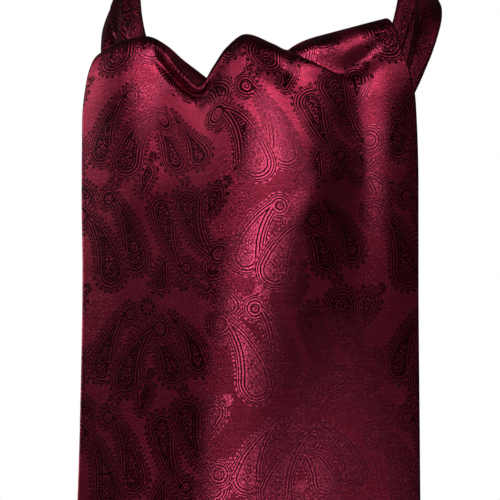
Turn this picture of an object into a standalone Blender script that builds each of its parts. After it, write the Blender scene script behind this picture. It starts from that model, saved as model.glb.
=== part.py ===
"""A silk cravat, tied and worn, with nobody in it.

One long strip of jacquard silk: its pleated middle is the neckband, its left end is the under blade,
and its right end crosses the left one at the throat, turns up behind it, rolls over the top and falls
down the front as the wide blade. The four stretches are four shells of real thickness.

X is to the right of someone who faces the cravat, Y runs from the front to the nape, Z is up. The
origin is on the inner face of the neckband, at the nape, half way up the band.
"""

import math

import bmesh
import bpy
from mathutils import Vector

MM = 0.001

# Cloth
BLADE_WALL = 1.4
WRAP_WALL = 2.0
SEAM_GAP = 0.4

# Neck opening, as a rounded rectangle seen from above
NECK_HALF_WIDTH = 57.5
NECK_HALF_DEPTH = 64.0
NECK_SQUARENESS = 2.4
BAND_END_TURN = 150.0
BAND_WALL = 1.6
BAND_PLEATS = 3
PLEAT_STEP = 1.3
PLEAT_SWELL = 0.75
PLEAT_TUCK = 0.5

# Blades: the ridge's two ends, the half width at which the chest has carried an edge back by a whole
# arch, and the point, as how much shorter the sides are than the middle and where that begins
RIDGE_LEFT = -71.0
RIDGE_RIGHT = 50.0
CHEST_HALF_WIDTH = 80.0
POINT_RISE = 48.0
FRONT_POINT_START = 124.0
UNDER_POINT_START = 100.0
POINT_CURVE = 1.5

# Gathers at the root: how many waves, side by side
GATHER_COUNT = 4.5

SILK = (0.19, 0.012, 0.03, 1.0)
SILK_SHADE = (0.12, 0.008, 0.02, 1.0)


class Table:
    """Rows of sizes under named columns, read as smooth curves through the first column."""

    def __init__(self, columns, rows):
        self.names = columns.split()
        self.rows = rows

    def slope(self, index, column):
        """The curve's slope at a row: none at a crest or a dip, so that it never overshoots."""
        if index in (0, len(self.rows) - 1):
            near = 1 if index == 0 else index - 1
            step = self.rows[near][0] - self.rows[index][0]
            return (self.rows[near][column] - self.rows[index][column]) / step
        before, here, after = self.rows[index - 1], self.rows[index], self.rows[index + 1]
        rise = (here[column] - before[column]) / (here[0] - before[0])
        fall = (after[column] - here[column]) / (after[0] - here[0])
        if rise * fall <= 0.0:
            return 0.0
        return 2.0 * rise * fall / (rise + fall)

    def at(self, position, name):
        column = self.names.index(name)
        rows = self.rows
        if position <= rows[0][0]:
            return rows[0][column]
        if position >= rows[-1][0]:
            return rows[-1][column]
        index = max(i for i in range(len(rows) - 1) if rows[i][0] <= position)
        span = rows[index + 1][0] - rows[index][0]
        t = (position - rows[index][0]) / span
        start, end = rows[index][column], rows[index + 1][column]
        leave = self.slope(index, column) * span
        arrive = self.slope(index + 1, column) * span
        return (
            start * (1.0 + 2.0 * t) * (1.0 - t) ** 2
            + leave * t * (1.0 - t) ** 2
            + end * t * t * (3.0 - 2.0 * t)
            - arrive * t * t * (1.0 - t)
        )


# The neckband, by the angle turned round the neck from the nape: how high its upper edge is, how far
# its lower edge leans out, and how wide it is. The right side lies flatter, on the shoulder.
BAND = Table(
    "turn left_top left_lean left_width right_top right_lean right_width",
    (
        (0.0, 20.0, 6.0, 40.0, 20.0, 6.0, 40.0),
        (30.0, 20.0, 11.0, 40.0, 20.0, 14.0, 40.0),
        (60.0, 14.0, 19.0, 40.0, 13.0, 28.0, 40.0),
        (75.0, 2.0, 23.0, 40.0, 2.0, 34.0, 39.0),
        (90.0, -14.0, 24.0, 38.0, -9.0, 35.0, 36.0),
        (105.0, -37.0, 24.0, 35.0, -24.0, 30.0, 31.0),
        (120.0, -54.0, 22.0, 30.0, -43.0, 24.0, 28.0),
        (135.0, -67.0, 14.0, 27.0, -63.0, 15.0, 27.0),
        (150.0, -77.0, 2.0, 26.0, -77.0, 2.0, 26.0),
    ),
)

# The front blade along its fall, from the gathered root behind the crossing: where its edges are,
# how far forward and how high its middle is, how far back the chest takes its edges, how much of the
# ridge's rise and fall it has, and how deep the gathers are.
FALL = Table(
    "along left right forward level arch crest gather",
    (
        (0.0, -21.0, 21.0, 119.5, -109.0, 0.0, 0.0, 1.7),
        (20.0, -23.0, 22.0, 119.0, -89.5, 0.0, 0.0, 1.8),
        (36.0, -31.5, 28.0, 120.0, -74.5, 3.0, 0.0, 1.6),
        (46.0, -46.0, 38.0, 125.5, -63.5, 9.0, 0.46, 1.2),
        (55.0, -61.0, 45.5, 134.0, -54.0, 16.0, 0.88, 0.6),
        (64.0, -71.0, 50.0, 143.0, -48.0, 22.0, 1.0, 0.15),
        (73.0, -75.0, 53.0, 151.0, -50.5, 27.0, 0.97, 0.0),
        (86.0, -78.5, 56.5, 158.0, -61.0, 31.0, 0.8, 0.0),
        (106.0, -80.4, 60.5, 163.0, -80.5, 34.0, 0.5, 0.0),
        (136.0, -80.5, 61.5, 163.5, -110.5, 31.0, 0.22, 0.0),
        (176.0, -80.0, 61.5, 160.0, -150.0, 25.0, 0.05, 0.0),
        (240.0, -81.0, 62.0, 159.0, -214.0, 19.0, 0.0, 0.0),
        (320.0, -83.5, 62.5, 163.0, -294.0, 15.0, 0.0, 0.0),
        (396.0, -85.0, 63.0, 170.0, -370.0, 13.0, 0.0, 0.0),
    ),
)

# The ridge where the front blade rolls over, by the place at which a thread crosses it
RIDGE = Table(
    "across rise",
    (
        (-71.0, -6.3),
        (-62.0, -1.6),
        (-53.5, 0.0),
        (-46.0, -3.4),
        (-35.3, -15.5),
        (-28.7, -20.0),
        (-23.5, -12.4),
        (-18.5, -5.0),
        (-10.9, 0.3),
        (0.6, -4.0),
        (6.3, -6.5),
        (16.0, -2.1),
        (29.0, 1.4),
        (50.0, 7.6),
    ),
)

# Soft folds of the front blade: across is where the fold runs at the ridge and drift how far it has
# moved at its foot, width is half its width, out is how far it stands out, top and foot are where it
# starts and ends along the fall, and fade is how softly it does.
FOLDS = (
    dict(across=-61.0, drift=-2.0, width=15.0, out=7.0, top=72.0, foot=150.0, fade=60.0),
    dict(across=-31.0, drift=3.0, width=9.5, out=-8.0, top=66.0, foot=160.0, fade=90.0),
    dict(across=-1.0, drift=4.0, width=19.0, out=6.0, top=76.0, foot=180.0, fade=70.0),
    dict(across=26.5, drift=-2.0, width=9.0, out=-6.0, top=80.0, foot=150.0, fade=60.0),
    dict(across=43.0, drift=1.0, width=9.0, out=4.0, top=74.0, foot=150.0, fade=60.0),
    dict(across=-52.0, drift=3.0, width=13.0, out=3.0, top=220.0, foot=430.0, fade=90.0),
    dict(across=-22.0, drift=-3.0, width=11.0, out=-2.5, top=260.0, foot=440.0, fade=90.0),
    dict(across=10.0, drift=3.0, width=14.0, out=3.5, top=230.0, foot=430.0, fade=90.0),
    dict(across=37.0, drift=-2.0, width=10.0, out=-3.0, top=210.0, foot=400.0, fade=90.0),
)

# The small roll of slack cloth that hangs under the ridge's dip, and the crease below it
DIP_ROLL = dict(across=-35.0, along=72.0, wide=9.0, long=4.5, out=4.5)
DIP_CREASE = dict(across=-34.0, along=81.0, wide=10.0, long=3.5, out=-4.5)

# The pleat where the middle lobe laps over the right one: where it crosses each stretch of the fall,
# how far the cloth is turned back under it, and how far apart its two layers lie
LAP = Table(
    "along across under step",
    (
        (8.0, 2.0, 0.0, 0.0),
        (40.0, 3.0, 2.5, 2.5),
        (64.0, 6.3, 8.0, 6.0),
        (73.0, 8.0, 8.0, 6.5),
        (81.0, 12.0, 7.0, 6.5),
        (86.0, 16.0, 5.5, 6.0),
        (91.0, 21.5, 3.0, 5.0),
        (97.0, 25.0, 0.5, 2.5),
        (108.0, 26.0, 0.0, 0.0),
    ),
)
LAP_TURN = 7.0
LAP_FADE = 22.0
LAP_LIP_PLACE = -3.0
LAP_LIP_WIDTH = 6.0
LAP_LIP_SHARE = 0.35

# The under blade and the wrap, by sections along their middle line: the middle, the width, and the
# angle of the section's line, where 90 is upright and 0 lies level.
UNDER = Table(
    "along x forward level width tilt arch",
    (
        (0.0, -32.6, 124.1, -90.0, 26.0, 90.0, 0.0),
        (12.0, -22.0, 129.5, -91.0, 26.0, 72.0, 0.0),
        (24.0, -11.0, 132.0, -96.0, 26.0, 46.0, 0.0),
        (36.0, -4.0, 132.8, -104.5, 27.0, 20.0, 0.5),
        (50.0, -1.5, 134.0, -118.0, 31.0, 5.0, 1.0),
        (70.0, -3.0, 137.5, -137.0, 50.0, 0.0, 2.0),
        (100.0, -6.5, 143.5, -166.0, 92.0, 0.0, 7.0),
        (145.0, -9.0, 148.0, -210.0, 126.0, 0.0, 13.0),
        (210.0, -10.5, 151.0, -274.0, 138.0, 0.0, 14.0),
        (275.0, -11.5, 156.0, -339.0, 140.0, 0.0, 12.0),
    ),
)
WRAP = Table(
    "along x forward level width tilt",
    (
        (0.0, 32.6, 124.1, -90.0, 26.0, 90.0),
        (14.0, 20.5, 131.5, -91.5, 26.0, 95.0),
        (30.0, 5.0, 139.2, -95.0, 26.0, 104.0),
        (46.0, -10.0, 141.4, -101.0, 26.0, 114.0),
        (58.0, -21.5, 139.0, -107.5, 25.0, 122.0),
        (66.0, -27.0, 132.0, -111.5, 24.0, 127.0),
        (74.0, -24.5, 124.5, -114.5, 22.0, 134.0),
        (83.0, -17.0, 121.0, -115.8, 23.0, 147.0),
        (93.0, -8.5, 119.9, -114.2, 30.0, 165.0),
        (101.0, -1.0, 119.6, -109.6, 40.0, 179.0),
    ),
)


def ease(t):
    """A smooth step from 0 to 1."""
    t = min(1.0, max(0.0, t))
    return t * t * (3.0 - 2.0 * t)


def bell(distance, width):
    """A soft hump, 1 in the middle and nearly 0 at twice its half width."""
    return math.exp(-((distance / width) ** 2))


def window(position, top, foot, fade):
    """1 between top and foot, easing to 0 over fade on both sides."""
    rising = ease((position - top + fade * 0.5) / fade)
    falling = ease((foot + fade * 0.5 - position) / fade)
    return rising * falling


def fold_relief(across, along):
    """How far the front blade's folds stand out at one place, in millimetres."""
    relief = 0.0
    for fold in FOLDS:
        reach = window(along, fold["top"], fold["foot"], fold["fade"])
        progress = min(1.0, max(0.0, (along - fold["top"]) / (fold["foot"] - fold["top"])))
        middle = fold["across"] + fold["drift"] * progress
        relief += fold["out"] * reach * bell(across - middle, fold["width"])
    for spot in (DIP_ROLL, DIP_CREASE):
        lengthwise = bell(along - spot["along"], spot["long"])
        relief += spot["out"] * lengthwise * bell(across - spot["across"], spot["wide"])
    return relief


def front_point(across, along):
    """A point on the front blade: across is where its thread crosses the ridge."""
    share = (across - RIDGE_LEFT) / (RIDGE_RIGHT - RIDGE_LEFT)
    left = FALL.at(along, "left")
    x = left + (FALL.at(along, "right") - left) * share
    z = FALL.at(along, "level") + FALL.at(along, "crest") * RIDGE.at(across, "rise")
    forward = FALL.at(along, "forward") + fold_relief(across, along)
    forward -= FALL.at(along, "arch") * (abs(x) / CHEST_HALF_WIDTH) ** 2
    forward += FALL.at(along, "gather") * math.sin(share * GATHER_COUNT * 2.0 * math.pi)
    past_lap = across - LAP.at(along, "across")
    turned = ease(past_lap / LAP_TURN)
    settle = math.exp(-max(0.0, past_lap - LAP_TURN) / LAP_FADE)
    lip = LAP_LIP_SHARE * bell(past_lap - LAP_LIP_PLACE, LAP_LIP_WIDTH)
    x -= LAP.at(along, "under") * turned * settle
    forward += LAP.at(along, "step") * (lip - (1.0 - LAP_LIP_SHARE) * turned * settle)
    return Vector((x, -forward, z)) * MM


def spaced(points, count):
    """The same line with count points at equal distances."""
    reach = [0.0]
    for before, after in zip(points, points[1:]):
        reach.append(reach[-1] + (after - before).length)
    line = []
    index = 0
    for step in range(count):
        wanted = reach[-1] * step / (count - 1)
        while index < len(points) - 2 and reach[index + 1] < wanted:
            index += 1
        share = (wanted - reach[index]) / (reach[index + 1] - reach[index])
        line.append(points[index].lerp(points[index + 1], min(1.0, share)))
    return line


def front_section(along, count, fine=180):
    """A line across the front blade. Near the foot it bends up at the sides, to give the point."""
    line = []
    for step in range(fine + 1):
        share = step / fine
        across = RIDGE_LEFT + (RIDGE_RIGHT - RIDGE_LEFT) * share
        fall = pointed(along, 2.0 * share - 1.0, FRONT_POINT_START, FALL.rows[-1][0])
        line.append(front_point(across, fall))
    return spaced(line, count)


def pointed(along, side, start, whole):
    """The fall reached at one side of a section: towards the foot the sides end higher."""
    progress = max(0.0, (along - start) / (whole - start))
    return along - POINT_RISE * abs(side) * progress ** POINT_CURVE


def sheet_object(name, sections, wall):
    """An open grid with a row for each section, given its wall by Solidify."""
    rows = len(sections)
    columns = len(sections[0])
    grid = bmesh.new()
    bmesh.ops.create_grid(grid, x_segments=columns - 1, y_segments=rows - 1, size=0.5)
    grid.verts.ensure_lookup_table()
    for vertex in grid.verts:
        column = round((vertex.co.x + 0.5) * (columns - 1))
        row = round((0.5 - vertex.co.y) * (rows - 1))
        vertex.co = sections[row][column]
    mesh = bpy.data.meshes.new(name)
    grid.to_mesh(mesh)
    grid.free()
    piece = bpy.data.objects.new(name, mesh)
    shell = piece.modifiers.new("cloth wall", "SOLIDIFY")
    shell.thickness = wall * MM
    shell.offset = 0.0
    mesh.shade_smooth()
    return piece


def strip_point(table, along, side):
    """A point of a strip that bends in its own plane: side runs from -1 to 1."""
    tilt = math.radians(table.at(along, "tilt"))
    reach = side * table.at(along, "width") * 0.5
    forward = table.at(along, "forward")
    if "arch" in table.names:
        forward -= table.at(along, "arch") * side * side
    x = table.at(along, "x") + reach * math.cos(tilt)
    z = table.at(along, "level") + reach * math.sin(tilt)
    return Vector((x, -forward, z)) * MM


def strip_sections(table, count, columns, point_start=None):
    """Sections along a strip, which ends in a point where it has a place for one to begin."""
    whole = table.rows[-1][0]
    sections = []
    for row in range(count):
        along = SEAM_GAP + (whole - SEAM_GAP) * row / (count - 1)
        line = []
        for column in range(columns):
            side = 2.0 * column / (columns - 1) - 1.0
            fall = along if point_start is None else pointed(along, side, point_start, whole)
            line.append(strip_point(table, fall, side))
        sections.append(line)
    return sections


def neck_curve(turn):
    """The upper edge's place round the neck and the way out from it, seen from above."""
    power = 2.0 / NECK_SQUARENESS
    angle = math.radians(turn)
    sine, cosine = math.sin(angle), math.cos(angle)
    x = NECK_HALF_WIDTH * math.copysign(abs(sine) ** power, sine)
    y = -NECK_HALF_DEPTH * (1.0 - math.copysign(abs(cosine) ** power, cosine))
    slope = 2.0 - power
    out_x = math.copysign(abs(sine) ** slope, sine) / NECK_HALF_WIDTH
    out_y = math.copysign(abs(cosine) ** slope, cosine) / NECK_HALF_DEPTH
    return Vector((x, y, 0.0)), Vector((out_x, out_y, 0.0)).normalized()


def band_ring(turn):
    """One closed section of the neckband, with lapped pleats on its outer side."""
    side = "right" if turn >= 0.0 else "left"
    angle = abs(turn)
    place, outward = neck_curve(turn)
    lean = math.radians(BAND.at(angle, side + "_lean"))
    width = BAND.at(angle, side + "_width")
    down = outward * math.sin(lean) - Vector((0.0, 0.0, 1.0)) * math.cos(lean)
    face = outward * math.cos(lean) + Vector((0.0, 0.0, 1.0)) * math.sin(lean)
    nape_lean = math.radians(BAND.at(0.0, "right_lean"))
    nape_shift = Vector((0.0, -0.5 * BAND.at(0.0, "right_width") * math.sin(nape_lean), 0.0))
    upper = place + nape_shift + Vector((0.0, 0.0, BAND.at(angle, side + "_top")))
    ring = [upper + down * width * share for share in (0.0, 0.25, 0.5, 0.75, 1.0)]
    step = PLEAT_STEP * min(1.0, width / BAND.at(0.0, "right_width"))
    for pleat in range(BAND_PLEATS):
        foot = width * (1.0 - pleat / BAND_PLEATS)
        head = width * (1.0 - (pleat + 1) / BAND_PLEATS)
        ring.append(upper + down * foot + face * (BAND_WALL + step))
        ring.append(upper + down * (foot + head) * 0.5 + face * (BAND_WALL + step * PLEAT_SWELL))
        ring.append(upper + down * (head + PLEAT_TUCK) + face * BAND_WALL)
    return [point * MM for point in ring]


def loft(name, rings):
    """A closed solid through rings of the same number of points, capped at both ends."""
    body = bmesh.new()
    loops = [[body.verts.new(point) for point in ring] for ring in rings]
    for near, far in zip(loops, loops[1:]):
        for index in range(len(near)):
            following = (index + 1) % len(near)
            body.faces.new((near[index], near[following], far[following], far[index]))
    body.faces.new(list(reversed(loops[0])))
    body.faces.new(loops[-1])
    bmesh.ops.recalc_face_normals(body, faces=body.faces)
    mesh = bpy.data.meshes.new(name)
    body.to_mesh(mesh)
    body.free()
    return bpy.data.objects.new(name, mesh)


def silk(name, colour):
    """Jacquard silk: a soft coloured gloss."""
    material = bpy.data.materials.new(name)
    material.use_nodes = True
    shader = material.node_tree.nodes["Principled BSDF"]
    shader.inputs["Base Color"].default_value = colour
    shader.inputs["Roughness"].default_value = 0.42
    shader.inputs["Metallic"].default_value = 0.0
    return material


def make_neckband():
    steps = 64
    turns = [BAND_END_TURN * (2.0 * step / steps - 1.0) for step in range(steps + 1)]
    return loft("neckband", [band_ring(turn) for turn in turns])


def make_front_blade():
    steps = 54
    crowding = 1.25
    length = FALL.rows[-1][0] - SEAM_GAP
    alongs = [SEAM_GAP + length * (step / steps) ** crowding for step in range(steps + 1)]
    sections = [front_section(along, 46) for along in alongs]
    return sheet_object("front_blade", sections, BLADE_WALL)


def make_under_blade():
    sections = strip_sections(UNDER, 34, 19, UNDER_POINT_START)
    return sheet_object("under_blade", sections, BLADE_WALL)


def make_cross_wrap():
    sections = strip_sections(WRAP, 30, 9)
    return sheet_object("cross_wrap", sections, WRAP_WALL)


def main():
    for leftover in list(bpy.data.objects):
        bpy.data.objects.remove(leftover, do_unlink=True)
    parts = bpy.data.collections.new("silk cravat")
    bpy.context.scene.collection.children.link(parts)
    pieces = (
        (make_neckband(), silk("silk of the neckband", SILK_SHADE)),
        (make_cross_wrap(), silk("silk of the wrap", SILK_SHADE)),
        (make_under_blade(), silk("silk of the under blade", SILK_SHADE)),
        (make_front_blade(), silk("silk of the front blade", SILK)),
    )
    for piece, material in pieces:
        piece.data.materials.append(material)
        parts.objects.link(piece)


main()
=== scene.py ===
"""Looks of the silk cravat: a burgundy jacquard with a paisley weave, draped as it is worn.

Run as a script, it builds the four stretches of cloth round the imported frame, dresses them in a woven
silk and sets a pale studio. The sizes in the tables are millimetres and their turns, leans and tilts
are degrees, in the frame's own axes: X to the right of someone who faces the cravat, Y towards the nape,
Z up.
"""

import math

import bmesh
import bpy
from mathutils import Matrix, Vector, noise


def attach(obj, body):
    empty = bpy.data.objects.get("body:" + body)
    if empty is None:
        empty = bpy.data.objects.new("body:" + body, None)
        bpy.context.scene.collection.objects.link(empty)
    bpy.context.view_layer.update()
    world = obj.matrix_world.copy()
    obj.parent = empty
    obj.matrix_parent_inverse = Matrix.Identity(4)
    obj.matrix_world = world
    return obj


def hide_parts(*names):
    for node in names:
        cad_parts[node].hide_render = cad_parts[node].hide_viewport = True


bl_info = {
    "name": "Silk cravat",
    "version": (1, 0, 0),
    "blender": (4, 5, 0),
    "location": "3D Viewport > Sidebar > Cravat",
    "description": "Drapes and weaves a silk cravat round its frame",
    "category": "Object",
}

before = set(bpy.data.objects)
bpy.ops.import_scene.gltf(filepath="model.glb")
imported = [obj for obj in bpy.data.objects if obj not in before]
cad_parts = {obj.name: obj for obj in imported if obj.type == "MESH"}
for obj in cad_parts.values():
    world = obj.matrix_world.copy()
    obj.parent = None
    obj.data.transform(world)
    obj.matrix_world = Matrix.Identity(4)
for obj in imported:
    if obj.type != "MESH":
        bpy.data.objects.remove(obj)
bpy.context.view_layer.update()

MM = 0.001
BODY = "root"


class Table:
    """Rows of sizes under named columns, read as smooth curves through the first column."""

    def __init__(self, columns, rows):
        self.names = columns.split()
        self.rows = rows
        self.read = {}

    def slope(self, index, column):
        """The curve's slope at a row: none at a crest or a dip, so that it never overshoots."""
        if index in (0, len(self.rows) - 1):
            near = 1 if index == 0 else index - 1
            step = self.rows[near][0] - self.rows[index][0]
            return (self.rows[near][column] - self.rows[index][column]) / step
        before, here, after = self.rows[index - 1], self.rows[index], self.rows[index + 1]
        rise = (here[column] - before[column]) / (here[0] - before[0])
        fall = (after[column] - here[column]) / (after[0] - here[0])
        if rise * fall <= 0.0:
            return 0.0
        return 2.0 * rise * fall / (rise + fall)

    def at(self, position, name):
        key = (position, name)
        if key not in self.read:
            self.read[key] = self.value(position, self.names.index(name))
        return self.read[key]

    def value(self, position, column):
        rows = self.rows
        if position <= rows[0][0]:
            return rows[0][column]
        if position >= rows[-1][0]:
            return rows[-1][column]
        index = max(i for i in range(len(rows) - 1) if rows[i][0] <= position)
        span = rows[index + 1][0] - rows[index][0]
        t = (position - rows[index][0]) / span
        start, end = rows[index][column], rows[index + 1][column]
        leave = self.slope(index, column) * span
        arrive = self.slope(index + 1, column) * span
        return (
            start * (1.0 + 2.0 * t) * (1.0 - t) ** 2
            + leave * t * (1.0 - t) ** 2
            + end * t * t * (3.0 - 2.0 * t)
            - arrive * t * t * (1.0 - t)
        )


# Neck opening, as a rounded rectangle seen from above
NECK_HALF_WIDTH = 57.5
NECK_HALF_DEPTH = 64.0
NECK_SQUARENESS = 2.4
BAND_END_TURN = 150.0

# The band round it: its gap from that line, its wall, its pleats, and the cut that its weave lies on
BAND_GAP = 0.9
BAND_WALL = 1.2
BAND_PLEATS = 3
PLEAT_STEP = 1.5
PLEAT_SLOPE = 0.8
BAND_CUT_WIDTH = 46.0
BAND_CUT_LENGTH = 390.0
BAND = Table(
    "turn left_top left_lean left_width right_top right_lean right_width",
    (
        (0.0, 20.0, 6.0, 40.0, 20.0, 6.0, 40.0),
        (30.0, 20.0, 11.0, 40.0, 20.0, 14.0, 40.0),
        (60.0, 14.0, 19.0, 40.0, 13.0, 26.0, 38.0),
        (75.0, 2.0, 23.0, 40.0, 2.0, 30.0, 34.0),
        (90.0, -14.0, 24.0, 38.0, -9.0, 31.0, 31.0),
        (105.0, -37.0, 24.0, 35.0, -24.0, 28.0, 28.0),
        (120.0, -54.0, 22.0, 30.0, -43.0, 24.0, 28.0),
        (135.0, -67.0, 14.0, 27.0, -63.0, 15.0, 27.0),
        (150.0, -77.0, 2.0, 26.0, -77.0, 2.0, 26.0),
    ),
)

# The blades' cut and their points, and the front blade's ridge. The seam gap is left free where the
# blades and the wrap start. A section spacing above 1 sets the front blade's sections closer there, and
# each of them is first laid out in fine steps.
CUT_WIDTH = 160.0
SEAM_GAP = 0.4
SECTION_SPACING = 1.15
FINE_STEPS = 240
RIDGE_LEFT = -71.0
RIDGE_RIGHT = 50.0
CHEST_HALF_WIDTH = 80.0
POINT_RISE = 48.0
POINT_CURVE = 1.5
FRONT_POINT_START = 124.0
UNDER_POINT_START = 100.0
GATHER_COUNT = 4.5
FALL = Table(
    "along left right forward level arch crest gather",
    (
        (0.0, -21.0, 21.0, 119.5, -109.0, 0.0, 0.0, 1.7),
        (20.0, -23.0, 22.0, 119.0, -89.5, 0.0, 0.0, 1.8),
        (36.0, -31.5, 28.0, 120.0, -74.5, 3.0, 0.0, 1.6),
        (46.0, -46.0, 38.0, 125.5, -63.5, 9.0, 0.46, 1.2),
        (55.0, -61.0, 45.5, 134.0, -54.0, 16.0, 0.88, 0.6),
        (64.0, -71.0, 50.0, 143.0, -48.0, 22.0, 1.0, 0.15),
        (73.0, -75.0, 53.0, 149.5, -50.5, 27.0, 0.97, 0.0),
        (86.0, -78.5, 56.5, 154.5, -61.0, 30.0, 0.8, 0.0),
        (106.0, -80.4, 60.5, 159.5, -80.5, 32.0, 0.5, 0.0),
        (136.0, -80.5, 61.5, 162.5, -110.5, 30.0, 0.22, 0.0),
        (176.0, -80.0, 61.5, 161.5, -150.0, 26.0, 0.05, 0.0),
        (240.0, -81.0, 62.0, 159.0, -214.0, 19.0, 0.0, 0.0),
        (320.0, -83.5, 62.5, 163.0, -294.0, 15.0, 0.0, 0.0),
        (396.0, -85.0, 63.0, 170.0, -370.0, 13.0, 0.0, 0.0),
    ),
)
RIDGE = Table(
    "across rise",
    (
        (-71.0, -6.3),
        (-62.0, -1.6),
        (-53.5, 0.0),
        (-46.0, -3.4),
        (-35.3, -15.5),
        (-28.7, -20.0),
        (-23.5, -12.4),
        (-18.5, -5.0),
        (-10.9, 0.3),
        (0.6, -4.0),
        (6.3, -6.5),
        (16.0, -2.1),
        (29.0, 1.4),
        (50.0, 7.6),
    ),
)

# Soft folds of the front blade: where each runs at the ridge and how far it drifts to its foot, half
# its width, how far it stands out, and where along the fall it comes in and goes out again.
FOLDS = (
    dict(across=-61.0, drift=-2.0, width=15.0, out=4.0, come=(37.0, 102.0), go=(80.0, 135.0)),
    dict(across=-40.0, drift=-3.0, width=11.5, out=-3.6, come=(64.0, 102.0), go=(108.0, 175.0)),
    dict(across=8.0, drift=-29.0, width=27.0, out=7.0, come=(44.0, 124.0), go=(160.0, 270.0)),
    dict(across=27.0, drift=2.0, width=9.0, out=-4.5, come=(76.0, 108.0), go=(116.0, 200.0)),
    dict(across=43.0, drift=1.0, width=9.0, out=3.0, come=(39.0, 100.0), go=(84.0, 132.0)),
    dict(across=-18.0, drift=-8.0, width=24.0, out=7.5, come=(140.0, 260.0), go=(395.0, 500.0)),
    dict(across=-54.0, drift=3.0, width=10.0, out=1.6, come=(175.0, 265.0), go=(385.0, 475.0)),
    dict(across=16.0, drift=5.0, width=11.0, out=1.4, come=(215.0, 305.0), go=(395.0, 485.0)),
)

# Short rolls and creases of slack cloth: both ends as places across and along, half the width, and how
# far each stands out. The end share is what is left of that at its ends, and past the reach, in half
# widths, there is nothing.
CREASE_END_SHARE = 0.45
CREASE_REACH = 4.0
CREASES = (
    dict(start=(-45.0, 69.0), end=(-28.0, 75.0), width=4.2, out=5.0),
    dict(start=(-44.0, 79.0), end=(-26.0, 80.0), width=3.0, out=-3.0),
    dict(start=(29.0, 90.0), end=(44.0, 82.0), width=4.0, out=-3.2),
    dict(start=(14.0, 70.0), end=(30.0, 80.0), width=4.5, out=2.0),
    dict(start=(-66.0, 84.0), end=(-50.0, 78.0), width=4.0, out=0.8),
    dict(start=(-8.0, 96.0), end=(8.0, 90.0), width=7.0, out=0.9),
    dict(start=(-24.0, 88.0), end=(-16.0, 74.0), width=4.0, out=-1.6),
    dict(start=(-56.0, 150.0), end=(-40.0, 128.0), width=7.0, out=1.0),
    dict(start=(8.0, 150.0), end=(24.0, 122.0), width=6.0, out=1.0),
    dict(start=(-20.0, 300.0), end=(4.0, 280.0), width=9.0, out=1.0),
    dict(start=(20.0, 352.0), end=(38.0, 330.0), width=8.0, out=1.0),
)

# The pleat where the middle lobe laps over the right one
LAP = Table(
    "along across under step",
    (
        (8.0, 2.0, 0.0, 0.0),
        (40.0, 3.0, 2.5, 2.5),
        (64.0, 6.3, 8.0, 6.0),
        (73.0, 8.0, 8.0, 6.5),
        (79.0, 11.5, 7.0, 6.5),
        (84.0, 16.0, 5.2, 5.5),
        (88.0, 20.0, 3.0, 3.8),
        (93.0, 23.5, 0.8, 1.5),
        (100.0, 25.0, 0.0, 0.0),
    ),
)
LAP_TURN = 7.0
LAP_FADE = 22.0
LAP_LIP_PLACE = -3.0
LAP_LIP_WIDTH = 6.0
LAP_LIP_SHARE = 0.35
LAP_DIP = 4.6
LAP_DIP_STEP = 5.0
LAP_DIP_FADE = 5.0

# The under blade and the wrap, by sections along their middle line. The shift and the drop are the
# under blade's place on the woven pattern.
UNDER_SHIFT = 31.0
UNDER_DROP = 17.0
WRAP_HALF_CUT = 16.0
WRAP_WALL = 1.6
UNDER = Table(
    "along x forward level width tilt arch",
    (
        (0.0, -32.6, 124.1, -90.0, 26.0, 90.0, 0.0),
        (12.0, -22.0, 129.5, -91.0, 26.0, 72.0, 0.0),
        (24.0, -11.0, 132.0, -96.0, 26.0, 46.0, 0.0),
        (36.0, -4.0, 132.8, -104.5, 27.0, 20.0, 0.5),
        (50.0, -1.5, 134.0, -118.0, 31.0, 5.0, 1.0),
        (70.0, -3.0, 137.5, -137.0, 50.0, 0.0, 2.0),
        (100.0, -6.5, 143.5, -166.0, 92.0, 0.0, 7.0),
        (145.0, -9.0, 148.0, -210.0, 126.0, 0.0, 13.0),
        (210.0, -10.5, 151.0, -274.0, 138.0, 0.0, 14.0),
        (275.0, -11.5, 156.0, -339.0, 140.0, 0.0, 12.0),
    ),
)
WRAP = Table(
    "along x forward level width tilt",
    (
        (0.0, 32.6, 124.1, -90.0, 26.0, 90.0),
        (14.0, 20.5, 131.5, -91.5, 26.0, 95.0),
        (30.0, 5.0, 139.2, -95.0, 26.0, 104.0),
        (46.0, -10.0, 141.4, -101.0, 26.0, 114.0),
        (58.0, -21.5, 139.0, -107.5, 25.0, 122.0),
        (66.0, -27.0, 132.0, -111.5, 24.0, 127.0),
        (74.0, -24.5, 124.5, -114.5, 22.0, 134.0),
        (83.0, -17.0, 121.0, -115.8, 23.0, 147.0),
        (93.0, -8.5, 119.9, -114.2, 30.0, 165.0),
        (101.0, -1.0, 119.6, -109.6, 40.0, 179.0),
    ),
)


def ease(t):
    """A smooth step from 0 to 1."""
    t = min(1.0, max(0.0, t))
    return t * t * (3.0 - 2.0 * t)


def bell(distance, width):
    """A soft hump, 1 in the middle and nearly 0 at twice its half width."""
    return math.exp(-((distance / width) ** 2))


def span(position, ends):
    """A smooth step from 0 at the first end to 1 at the last."""
    return ease((position - ends[0]) / (ends[1] - ends[0]))


def beside(place, start, end):
    """How far a place is from a straight line between two ends, and its share of the way along it."""
    course = end - start
    share = min(1.0, max(0.0, (place - start).dot(course) / course.length_squared))
    return (place - start - course * share).length, share


def crease_relief(crease, across, along):
    """One short roll or crease, dying away past its ends."""
    place = Vector((across, along))
    off, share = beside(place, Vector(crease["start"]), Vector(crease["end"]))
    if off > CREASE_REACH * crease["width"]:
        return 0.0
    swell = CREASE_END_SHARE + (1.0 - CREASE_END_SHARE) * math.sin(math.pi * share)
    return crease["out"] * bell(off, crease["width"]) * swell


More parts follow.
